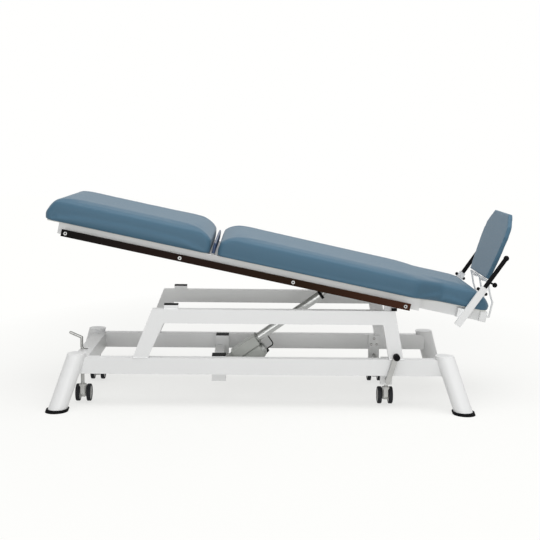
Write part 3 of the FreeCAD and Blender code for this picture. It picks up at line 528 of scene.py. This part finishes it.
def on_base(x, y, z):
    """A point that is given from the middle of the feet."""
    return Vector((x + SHIFT, y, z))


def on_top(x, y, z):
    """A point that is given in the top's flat frame."""
    return TOP @ Vector((x, y, z))


def subdivided(piece):
    """Adds one level of subdivision."""
    finer = piece.modifiers.new("finer", "SUBSURF")
    finer.levels = 1
    finer.render_levels = 1


# Cushions

def skin_of(node, voxel, shrink):
    """Even mesh over a CAD cushion, in the top's flat frame, pulled in a little."""
    mesh = nodes[node].data.copy()
    mesh.transform(TOP.inverted())
    holder = bpy.data.objects.new("skin", mesh)
    bpy.context.scene.collection.objects.link(holder)
    remesh = holder.modifiers.new("even", "REMESH")
    remesh.mode = "VOXEL"
    remesh.voxel_size = voxel
    pull = holder.modifiers.new("pull", "DISPLACE")
    pull.strength = -shrink
    pull.mid_level = 0.0
    calm = holder.modifiers.new("smooth", "SMOOTH")
    calm.factor = 0.5
    calm.iterations = 2
    with_modifiers(holder)
    return holder


def settle(holder, base_z, pressure, steps, cap):
    """Blows the cover up against its own stiffness, by no more than the cap.

    All below the base is held to the board.
    """
    mesh = holder.data
    start = np.empty(len(mesh.vertices) * 3)
    mesh.vertices.foreach_get("co", start)
    start = start.reshape(-1, 3)
    held = holder.vertex_groups.new(name="held")
    held.add([int(i) for i in np.nonzero(start[:, 2] < base_z)[0]], 1.0, "REPLACE")
    cloth = holder.modifiers.new("cover", "CLOTH")
    cloth.settings.quality = 4
    cloth.settings.mass = 0.4
    cloth.settings.tension_stiffness = 30.0
    cloth.settings.compression_stiffness = 30.0
    cloth.settings.shear_stiffness = 12.0
    cloth.settings.bending_stiffness = 6.0
    cloth.settings.use_pressure = True
    cloth.settings.uniform_pressure_force = pressure
    cloth.settings.vertex_group_mass = "held"
    cloth.settings.effector_weights.gravity = 0.0
    cloth.collision_settings.use_collision = False
    cloth.point_cache.frame_start = 1
    cloth.point_cache.frame_end = steps
    for step in range(1, steps + 1):
        bpy.context.scene.frame_set(step)
    settled = with_modifiers(holder)
    bpy.context.scene.frame_set(1)
    end = np.empty(len(settled.vertices) * 3)
    settled.vertices.foreach_get("co", end)
    move = end.reshape(-1, 3) - start
    size = np.linalg.norm(move, axis=1, keepdims=True)
    no_move = 1e-9
    move *= np.minimum(1.0, cap / np.maximum(size, no_move))
    settled.vertices.foreach_set("co", (start + move).ravel())
    settled.update()


def cushion(name, node, body, base_z, voxel, swell):
    """A vinyl cushion grown from the CAD solid that it replaces."""
    settings = bpy.context.scene.tilt_cushions
    shrink_share = 0.8
    holder = skin_of(node, voxel, swell * shrink_share)
    settle(holder, base_z, settings.pressure, settings.steps, swell)
    subdivided(holder)
    mesh = with_modifiers(holder)
    bpy.data.objects.remove(holder)
    mesh.transform(TOP)
    smooth(mesh)
    piece = new_piece(name, mesh, "blue_vinyl", body)
    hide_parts(node)


class TILT_OT_cushions(bpy.types.Operator):
    """Make the two cushions of the top"""
    bl_idname = "tilt.cushions"
    bl_label = "Cushions"

    def execute(self, context):
        settings = context.scene.tilt_cushions
        for name, body in (("head_cushion", "head_section"), ("main_cushion", "table")):
            cushion(name + "_cover", name, body, CUSHION_SEAT_Z, settings.voxel, settings.swell)
        return {"FINISHED"}


class TILT_OT_foot_pad(bpy.types.Operator):
    """Make the padded cover of the foot plate"""
    bl_idname = "tilt.foot_pad"
    bl_label = "Foot plate cover"

    def execute(self, context):
        settings = context.scene.tilt_cushions
        nothing_held = -1.0
        cushion("foot_plate_cover", "foot_plate_pad", "foot_plate", nothing_held,
                settings.plate_voxel, settings.plate_swell)
        return {"FINISHED"}


# The flap's side in the gap, from its hem to its crest, as (x, z) from the hinge's axis
FLAP_SIDE = ((-0.0066, -0.036), (-0.0065, -0.026), (-0.0062, -0.012), (-0.0058, 0.0),
             (-0.0048, 0.0052), (-0.0026, 0.0082), (0.0, 0.0090))
FLAP_PROFILE = (*FLAP_SIDE, *((-x, z) for x, z in reversed(FLAP_SIDE[:-1])))
FLAP_HALF = 0.303
FLAP_THICKNESS = 0.0009
FLAP_COLUMNS = 43


def flap_ripple(y, z):
    """How far the flap's sides wave, growing from nothing at the hinge's axis."""
    height, turn_along, turn_down, full_depth = 0.0004, 55.0, 40.0, 0.03
    wave = math.sin(y * turn_along + z * turn_down)
    return height * wave * min(1.0, abs(z) / full_depth)


def flap_mesh(axis):
    """Folded sheet along the gap with closed ends, about the hinge's axis in the flat frame."""
    shape = bmesh.new()
    rows = []
    for x, z in FLAP_PROFILE:
        row = []
        for k in range(FLAP_COLUMNS):
            y = -FLAP_HALF + 2 * FLAP_HALF * k / (FLAP_COLUMNS - 1)
            row.append(shape.verts.new((axis.x + x + flap_ripple(y, z), y, axis.z + z)))
        rows.append(row)
    for first, second in zip(rows, rows[1:]):
        for k in range(FLAP_COLUMNS - 1):
            shape.faces.new((first[k], first[k + 1], second[k + 1], second[k]))
    last = len(FLAP_PROFILE) - 1
    crest = len(FLAP_SIDE) - 1
    for k in (0, FLAP_COLUMNS - 1):
        for i in range(crest - 1):
            shape.faces.new((rows[i][k], rows[i + 1][k], rows[last - i - 1][k],
                             rows[last - i][k]))
        shape.faces.new((rows[crest - 1][k], rows[crest][k], rows[crest + 1][k]))
    bmesh.ops.recalc_face_normals(shape, faces=list(shape.faces))
    mesh = bpy.data.meshes.new("gap_flap")
    shape.to_mesh(mesh)
    shape.free()
    smooth(mesh)
    return mesh


class TILT_OT_gap_flap(bpy.types.Operator):
    """Make the vinyl flap that covers the hinge in the gap"""
    bl_idname = "tilt.gap_flap"
    bl_label = "Gap flap"

    def execute(self, context):
        axis = TOP.inverted() @ Vector(joint_of["head_section_tilt"]["pos_m"])
        # The flap's material carries painted shade of the gap and painted highlights on its creases.
        material = flap_vinyl("flap_vinyl_painted_shade", tuple(context.scene.tilt_cushions.flap))
        mesh = moved(flap_mesh(axis), TOP)
        piece = new_piece("gap_flap", mesh, "blue_vinyl", None, material)
        solid = piece.modifiers.new("thickness", "SOLIDIFY")
        solid.thickness = FLAP_THICKNESS
        solid.offset = 0.0
        subdivided(piece)
        with_modifiers(piece)
        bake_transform(piece)
        return {"FINISHED"}


# Wheels

# Section of a wheel as (x, radius) from the castor's middle: inner face, tread, outer face
WHEEL_SECTION = ((0.0142, 0.0052), (0.0142, 0.012), (0.0150, 0.0135), (0.0156, 0.029),
                 (0.0148, 0.0335), (0.0154, 0.0360), (0.0174, 0.0373), (0.0236, 0.0375),
                 (0.0298, 0.0373), (0.0320, 0.0360), (0.0328, 0.0338), (0.0318, 0.0315),
                 (0.0300, 0.0300), (0.0296, 0.0150), (0.0312, 0.0125), (0.0318, 0.0052))
HUB_RADIUS = 0.0305
SHELL_SIZE = (0.0250, 0.044, 0.052)
SHELL_ROUNDING = 0.007
SHELL_RISE = 0.0095


def twin_wheels(steps):
    """The two wheels of a castor, about the axle at the origin."""
    return joined([lathe([(side * x, radius) for x, radius in WHEEL_SECTION], steps, True)
                   for side in (-1, 1)])


class TILT_OT_wheels(bpy.types.Operator):
    """Make the twin wheels and the body shells of the four castors"""
    bl_idname = "tilt.wheels"
    bl_label = "Castor wheels"

    def execute(self, context):
        settings = context.scene.tilt_wheels
        hub = moulded_plastic("wheel_hub", tuple(settings.hub), 0.34)
        for name in ("head_front", "head_rear", "foot_front", "foot_rear"):
            axle = Vector(joint_of[name + "_roll"]["pos_m"])
            mesh = twin_wheels(settings.steps)
            wheels = "castor_wheels_" + name
            piece = new_piece("twin_wheel_" + name, mesh, "castor_tyre", wheels)
            mesh.materials.append(hub)
            for face in mesh.polygons:
                radius = math.hypot(face.center.y, face.center.z)
                face.material_index = 1 if radius < HUB_RADIUS else 0
            mesh.transform(at(*axle))
            smooth(mesh)
            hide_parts(wheels)
            shell = rounded_block(SHELL_SIZE, SHELL_ROUNDING)
            shell.transform(at(axle.x, axle.y, axle.z + SHELL_RISE))
            new_piece("castor_shell_" + name, shell, "castor_body", "castor_fork_" + name)
        return {"FINISHED"}


# Plugs, welds and fasteners

def outward(sign):
    """Turn of a piece that stands along +X so that it points away from the middle in y."""
    return Matrix.Rotation(sign * math.pi / 2, 4, "Z")


def plug(width, height, depth):
    """Moulded plug of a tube of this size: lip along +X from the origin, core behind it."""
    lip_thickness, slack, wall = 0.0024, 0.0002, 0.0020
    lip = rounded_block((lip_thickness, width - 2 * slack, height - 2 * slack), 0.0011)
    thinner = 2 * (wall + slack)
    core = rounded_block((depth, width - thinner, height - thinner), 0.0008)
    return joined([moved(lip, at(lip_thickness / 2, 0, 0)),
                   moved(core, at(slack - depth / 2, 0, 0))])


class TILT_OT_plugs(bpy.types.Operator):
    """Close the open tube ends with moulded plugs"""
    bl_idname = "tilt.plugs"
    bl_label = "Tube plugs"

    def execute(self, context):
        plugs = []
        for sign in (-1, 1):
            end = at(SIDE_TUBE_HEAD_X, sign * SIDE_TUBE_Y, SIDE_TUBE_Z)
            toward_head = Matrix.Rotation(math.pi, 4, "Z")
            plugs.append(moved(plug(*SIDE_TUBE_SIZE, depth=0.012), TOP @ end @ toward_head))
            end = at(FOOT_TUBE_X, sign * FOOT_TUBE_END_Y, FOOT_TUBE_Z)
            plugs.append(moved(plug(*FOOT_TUBE_SIZE, depth=0.010), TOP @ end @ outward(sign)))
        new_piece("tube_plugs", joined(plugs), "white_coat", "table")
        return {"FINISHED"}


def bead(runs, radius, name):
    """Weld beads along runs of points, a little uneven as a hand weld is."""
    pitch = 0.004
    unevenness, turn_of_a_step = 0.22, 2.4
    curve = bpy.data.curves.new(name, "CURVE")
    curve.dimensions = "3D"
    curve.bevel_depth = radius
    curve.bevel_resolution = 3
    for run in runs:
        fine = []
        for first, second in zip(run, run[1:]):
            steps = max(2, int((second - first).length / pitch))
            fine += [first.lerp(second, k / steps) for k in range(steps)]
        fine.append(run[-1])
        spline = curve.splines.new("POLY")
        spline.points.add(len(fine) - 1)
        for k, point in enumerate(fine):
            spline.points[k].co = (*point, 1.0)
            spline.points[k].radius = 1.0 + unevenness * math.sin(k * turn_of_a_step)
    holder = bpy.data.objects.new(name, curve)
    bpy.context.scene.collection.objects.link(holder)
    bpy.context.view_layer.update()
    depsgraph = bpy.context.evaluated_depsgraph_get()
    mesh = bpy.data.meshes.new_from_object(holder.evaluated_get(depsgraph))
    bpy.data.objects.remove(holder)
    smooth(mesh)
    return mesh


def base_weld_runs(sign):
    """Runs of one side of the base, just proud of the faces that they lie on."""
    rise = 0.0002
    corner = 0.002
    out, into = sign * RAIL_OUTER_Y, sign * RAIL_INNER_Y
    z = BASE_RAIL_TOP + rise
    runs = [[on_base(x0, into, z), on_base(x0, out, z), on_base(x1, out, z),
             on_base(x1, into, z)] for x0, x1 in ARM_FEET]
    runs += [[on_base(x, into, BASE_RAIL_LOW + corner), on_base(x, into, BASE_RAIL_TOP - corner)]
             for x in POST_X]
    z = UPPER_RAIL_TOP + rise
    runs += [[on_base(x, sign * y, z) for x in REST_STUB_X] for y in REST_STUB_Y]
    runs.append([on_base(x, sign * TILT_BLOCK_Y, z) for x in TILT_BLOCK_X])
    runs += [[on_base(x, sign * POST_INNER_Y, z) for z in CROSS_TUBE_Z] for x in CROSS_TUBE_X]
    return runs


def lug_weld_run(sign):
    """Run round the foot of the lug on one side of the foot frame."""
    proud = 0.0012
    corners = ((0, 0), (1, 0), (1, 1), (0, 1), (0, 0))
    return [on_top(LUG_X[i], sign * (LUG_Y + proud), LUG_Z[j]) for i, j in corners]


class TILT_OT_welds(bpy.types.Operator):
    """Lay weld beads where the arms, posts, blocks and lugs meet the tubes"""
    bl_idname = "tilt.welds"
    bl_label = "Welds"

    def execute(self, context):
        radius = context.scene.tilt_frame.bead
        runs = base_weld_runs(-1) + base_weld_runs(1)
        new_piece("weld_beads", bead(runs, radius, "beads"), "white_coat", "base")
        runs = [lug_weld_run(-1), lug_weld_run(1)]
        new_piece("lug_beads", bead(runs, radius, "lug_beads"), "white_coat", "table")
        return {"FINISHED"}


def hex_head(radius, height):
    """Hexagon bolt head on a washer, standing along +X from the origin."""
    washer_thickness = 0.0012
    head = lathe([(0.0, radius * 0.96), (height * 0.86, radius), (height, radius * 0.86)], 6)
    washer = lathe([(-washer_thickness, radius * 1.45), (-0.0002, radius * 1.5),
                    (0.0004, radius * 1.4)], 32)
    return moved(joined([head, washer]), at(washer_thickness, 0, 0))


def socket_painted_shade():
    """Painted shade: a dark disc at the floor of a screw's socket, and a dark ring round its head, where shade
    falls.
    """
    floor = lathe([(0.0, 0.0035), (0.0006, 0.0035)], 6)
    line = lathe([(0.0, 0.0072), (0.0, 0.0086), (0.0005, 0.0084), (0.0005, 0.0072)], 36, True)
    return joined([moved(floor, at(SCREW_SOCKET_DEPTH, 0, 0)), line])


class TILT_OT_bolts(bpy.types.Operator):
    """Put bolts on the castor housings, and painted shade in the sockets of the rails' screws and round their
    heads
    """
    bl_idname = "tilt.bolts"
    bl_label = "Bolts"

    def execute(self, context):
        heads = []
        painted_shades = []
        for sign in (-1, 1):
            for x, z in HOUSING_BOLTS:
                seat = at(*on_base(x, sign * HOUSING_INNER_Y, z))
                head = hex_head(radius=0.0042, height=0.003)
                heads.append(moved(head, seat @ outward(-sign)))
            for k in range(SCREWS_IN_A_RAIL):
                seat = at(FIRST_SCREW_X + k * SCREW_PITCH, sign * RAIL_FACE_Y, SCREW_Z)
                painted_shades.append(moved(socket_painted_shade(), TOP @ seat @ outward(sign)))
        new_piece("housing_bolts", joined(heads), "bright_steel", "base")
        # Painted shade in the screws' sockets and round their heads.
        new_piece("screw_painted_shade", joined(painted_shades), "black_plastic", "table")
        return {"FINISHED"}


# Drive, in its own frame: x along the actuator from its rear pin, z away from the motor

DRIVE_END_X = 0.160
MOTOR_COVER_SIZE = (0.118, 0.064, 0.062)
MOTOR_COVER_ROUNDING = 0.013
MOTOR_COVER_PLACE = (0.098, 0.0, -0.0565)
CLAMP_SECTION = ((0.0002, 0.0200), (0.0002, 0.0262), (0.0020, 0.0275), (0.0068, 0.0275),
                 (0.0086, 0.0262), (0.0086, 0.0200))
DRIVE_SCREWS = ((-0.029, -0.017), (-0.029, 0.011), (0.029, -0.017), (0.029, 0.011))
KNOB_PLACE = (0.1625, -0.012, -0.070)


def drive_place():
    """Place of the drive's frame at rest, with x toward the pin at the front."""
    rear = Vector(joint_of["actuator_turn"]["pos_m"])
    front = TOP @ FRONT_PIN
    rise = math.atan2(front.z - rear.z, front.x - rear.x)
    return at(*rear) @ Matrix.Rotation(-rise, 4, "Y")


def release_knob():
    """Round knob on a stem, standing along +X from the origin."""
    knob = lathe([(0.0, 0.0082), (0.0030, 0.0092), (0.0115, 0.0092), (0.0140, 0.0078)], 36)
    stem = lathe([(-0.0050, 0.0045), (0.0005, 0.0045)], 24)
    return joined([knob, stem])


class TILT_OT_drive(bpy.types.Operator):
    """Close the drive's housing over its motor, with a clamp ring, screws and a knob"""
    bl_idname = "tilt.drive"
    bl_label = "Drive housing"

    def execute(self, context):
        place = drive_place()
        cover = rounded_block(MOTOR_COVER_SIZE, MOTOR_COVER_ROUNDING, 6)
        new_piece("motor_cover", moved(cover, place @ at(*MOTOR_COVER_PLACE)), "grey_housing",
                  "actuator")
        clamp = [moved(lathe(CLAMP_SECTION, 48, True), place @ at(DRIVE_END_X, 0, 0))]
        for y, z in DRIVE_SCREWS:
            head = hex_head(radius=0.0040, height=0.003)
            clamp.append(moved(head, place @ at(DRIVE_END_X, y, z)))
        new_piece("drive_clamp", joined(clamp), "motor_metal", "actuator")
        new_piece("release_knob", moved(release_knob(), place @ at(*KNOB_PLACE)),
                  "black_plastic", "actuator")
        return {"FINISHED"}


class TILT_OT_finishes(bpy.types.Operator):
    """Give every part of the frame its finish"""
    bl_idname = "tilt.finishes"
    bl_label = "Finishes"

    def execute(self, context):
        for name, node in nodes.items():
            material = finish(slot_of[name])
            if node.material_slots:
                for place in node.material_slots:
                    place.material = material
            else:
                node.data.materials.append(material)
        return {"FINISHED"}


# Stage

FLOOR_HALF = 14.0
FLOOR_DROP = 0.0004
FLOOR_WHITE = (1.0, 1.0, 0.985)
BACKDROP_WHITE = (1.0, 1.0, 0.992)
FADE_CENTRE_Y = 0.3
FADE_FROM = 0.9
FADE_TO = 2.0
WHITE_SHARE_NEAR = 0.68
BOUNCE_SHARE = 0.62
KEY_TARGET = (0.1, 0.0, 0.4)
FILL_TARGET = (0.0, 0.0, 0.4)
KEY_SIZE = (4.5, 3.0)
KEY_PLACE = (0.5, -0.9, 3.6)
FILL_SIZE = (5.0, 1.4)
FILL_PLACE = (0.1, -6.2, 1.0)
CAMERA_PLACE = (-0.0225, -4.638, 1.168)
CAMERA_YAW = 0.0128
CAMERA_PITCH = 0.131
CAMERA_ROLL = 0.0108
LENS_PIXELS = 1040.7
PICTURE_PIXELS = 540.0
SENSOR_WIDTH = 36.0
FAR_CLIP = 60.0


def floor_material(colour):
    """Pale floor that takes a soft shadow and runs out to white."""
    paint = Paint("pale_floor")
    x, y, z = paint.parts(paint.place())
    away = (x * x + (y - FADE_CENTRE_Y) * (y - FADE_CENTRE_Y) * 0.5) ** 0.5
    far = paint.span(away, FADE_FROM, FADE_TO)
    rays = paint.node("ShaderNodeLightPath")
    seen = Value(paint, rays.outputs["Is Camera Ray"])
    glossy = Value(paint, rays.outputs["Is Glossy Ray"])
    through = Value(paint, rays.outputs["Is Transmission Ray"])
    looked_at = paint.out("ShaderNodeMath", {"operation": "MINIMUM"}, {0: seen + glossy + through,
                                                                      1: 1.0})
    bounce = tuple(part * BOUNCE_SHARE for part in colour)
    matt = paint.out("ShaderNodeBsdfDiffuse", None, {"Color": paint.mix(looked_at, bounce, colour)})
    white = paint.out("ShaderNodeEmission", None, {"Color": FLOOR_WHITE, "Strength": 1.0})
    share = looked_at * (far * (1.0 - WHITE_SHARE_NEAR) + WHITE_SHARE_NEAR)
    mixed = paint.out("ShaderNodeMixShader", None, {0: share, 1: matt, 2: white})
    paint.tree.links.new(mixed.socket, paint.end.inputs["Surface"])
    return paint.material


def lay_floor(colour):
    shape = bmesh.new()
    bmesh.ops.create_grid(shape, x_segments=8, y_segments=8, size=FLOOR_HALF)
    mesh = bpy.data.meshes.new("floor")
    shape.to_mesh(mesh)
    shape.free()
    floor = bpy.data.objects.new("floor", mesh)
    bpy.context.scene.collection.objects.link(floor)
    floor.location.z = -FLOOR_DROP
    mesh.materials.append(floor_material(colour))


def lamp(name, power, size, place, target):
    """Large soft lamp that looks at a target."""
    light = bpy.data.lights.new(name, "AREA")
    light.shape = "RECTANGLE"
    light.size, light.size_y = size
    light.energy = power
    holder = bpy.data.objects.new(name, light)
    bpy.context.scene.collection.objects.link(holder)
    holder.location = place
    aim = Vector(target) - Vector(place)
    holder.rotation_euler = aim.to_track_quat("-Z", "Y").to_euler()


def background(tree, colour, strength):
    made = tree.nodes.new("ShaderNodeBackground")
    made.inputs["Color"].default_value = (*colour, 1.0)
    made.inputs["Strength"].default_value = strength
    return made


def larger(tree, first, second):
    made = tree.nodes.new("ShaderNodeMath")
    made.operation = "MAXIMUM"
    tree.links.new(first, made.inputs[0])
    tree.links.new(second, made.inputs[1])
    return made.outputs[0]


def room(strength):
    """World that lights evenly, and is white where it is looked at, mirrored or seen through."""
    world = bpy.data.worlds.new("room")
    bpy.context.scene.world = world
    world.use_nodes = True
    tree = world.node_tree
    tree.nodes.clear()
    rays = tree.nodes.new("ShaderNodeLightPath").outputs
    seen = larger(tree, rays["Is Camera Ray"], rays["Is Glossy Ray"])
    seen = larger(tree, seen, rays["Is Transmission Ray"])
    even = background(tree, (1.0, 1.0, 1.0), strength)
    white = background(tree, BACKDROP_WHITE, 1.0)
    mixed = tree.nodes.new("ShaderNodeMixShader")
    end = tree.nodes.new("ShaderNodeOutputWorld")
    tree.links.new(seen, mixed.inputs[0])
    tree.links.new(even.outputs[0], mixed.inputs[1])
    tree.links.new(white.outputs[0], mixed.inputs[2])
    tree.links.new(mixed.outputs[0], end.inputs["Surface"])


def set_camera():
    """Camera of the photograph: turned by yaw and pitch, then rolled about its own axis."""
    ahead = Vector((math.sin(CAMERA_YAW) * math.cos(CAMERA_PITCH),
                    math.cos(CAMERA_YAW) * math.cos(CAMERA_PITCH), -math.sin(CAMERA_PITCH)))
    right = Vector((math.cos(CAMERA_YAW), -math.sin(CAMERA_YAW), 0.0))
    down = ahead.cross(right)
    across = math.cos(CAMERA_ROLL) * right - math.sin(CAMERA_ROLL) * down
    below = math.sin(CAMERA_ROLL) * right + math.cos(CAMERA_ROLL) * down
    data = bpy.data.cameras.new("camera")
    data.sensor_width = SENSOR_WIDTH
    data.sensor_fit = "HORIZONTAL"
    data.lens = LENS_PIXELS * SENSOR_WIDTH / PICTURE_PIXELS
    data.clip_end = FAR_CLIP
    holder = bpy.data.objects.new("camera", data)
    bpy.context.scene.collection.objects.link(holder)
    turn = Matrix((across, -below, -ahead)).transposed()
    holder.matrix_world = at(*on_base(*CAMERA_PLACE)) @ turn.to_4x4()
    bpy.context.scene.camera = holder


class TILT_OT_stage(bpy.types.Operator):
    """Set the floor, the soft lamps and the camera"""
    bl_idname = "tilt.stage"
    bl_label = "Stage"

    def execute(self, context):
        settings = context.scene.tilt_stage
        lay_floor(tuple(settings.floor))
        lamp("key_lamp", settings.key, KEY_SIZE, KEY_PLACE, KEY_TARGET)
        lamp("fill_lamp", settings.fill, FILL_SIZE, FILL_PLACE, FILL_TARGET)
        room(settings.sky)
        context.scene.view_settings.view_transform = "Standard"
        set_camera()
        return {"FINISHED"}


class TILT_PT_panel(bpy.types.Panel):
    """Lists the pieces and their settings"""
    bl_label = "Tilt table"
    bl_idname = "TILT_PT_panel"
    bl_space_type = "VIEW_3D"
    bl_region_type = "UI"
    bl_category = "Tilt table"

    def draw(self, context):
        for kind in OPERATORS:
            self.layout.operator(kind.bl_idname)
        for key, kind in SETTINGS.items():
            box = self.layout.box()
            group = getattr(context.scene, key)
            for field in kind.__annotations__:
                box.prop(group, field)


SETTINGS = {"tilt_cushions": CushionSettings, "tilt_frame": FrameSettings,
            "tilt_wheels": WheelSettings, "tilt_stage": StageSettings}
OPERATORS = (TILT_OT_finishes, TILT_OT_stage, TILT_OT_cushions, TILT_OT_foot_pad,
             TILT_OT_gap_flap, TILT_OT_wheels, TILT_OT_plugs, TILT_OT_welds, TILT_OT_bolts,
             TILT_OT_drive)


def register():
    for kind in (*SETTINGS.values(), *OPERATORS, TILT_PT_panel):
        bpy.utils.register_class(kind)
    for key, kind in SETTINGS.items():
        setattr(bpy.types.Scene, key, PointerProperty(type=kind))


def unregister():
    for key in SETTINGS:
        delattr(bpy.types.Scene, key)
    for kind in reversed((*SETTINGS.values(), *OPERATORS, TILT_PT_panel)):
        bpy.utils.unregister_class(kind)


def main():
    register()
    for kind in OPERATORS:
        getattr(bpy.ops.tilt, kind.bl_idname.split(".")[1])()


if __name__ == "__main__":
    main()
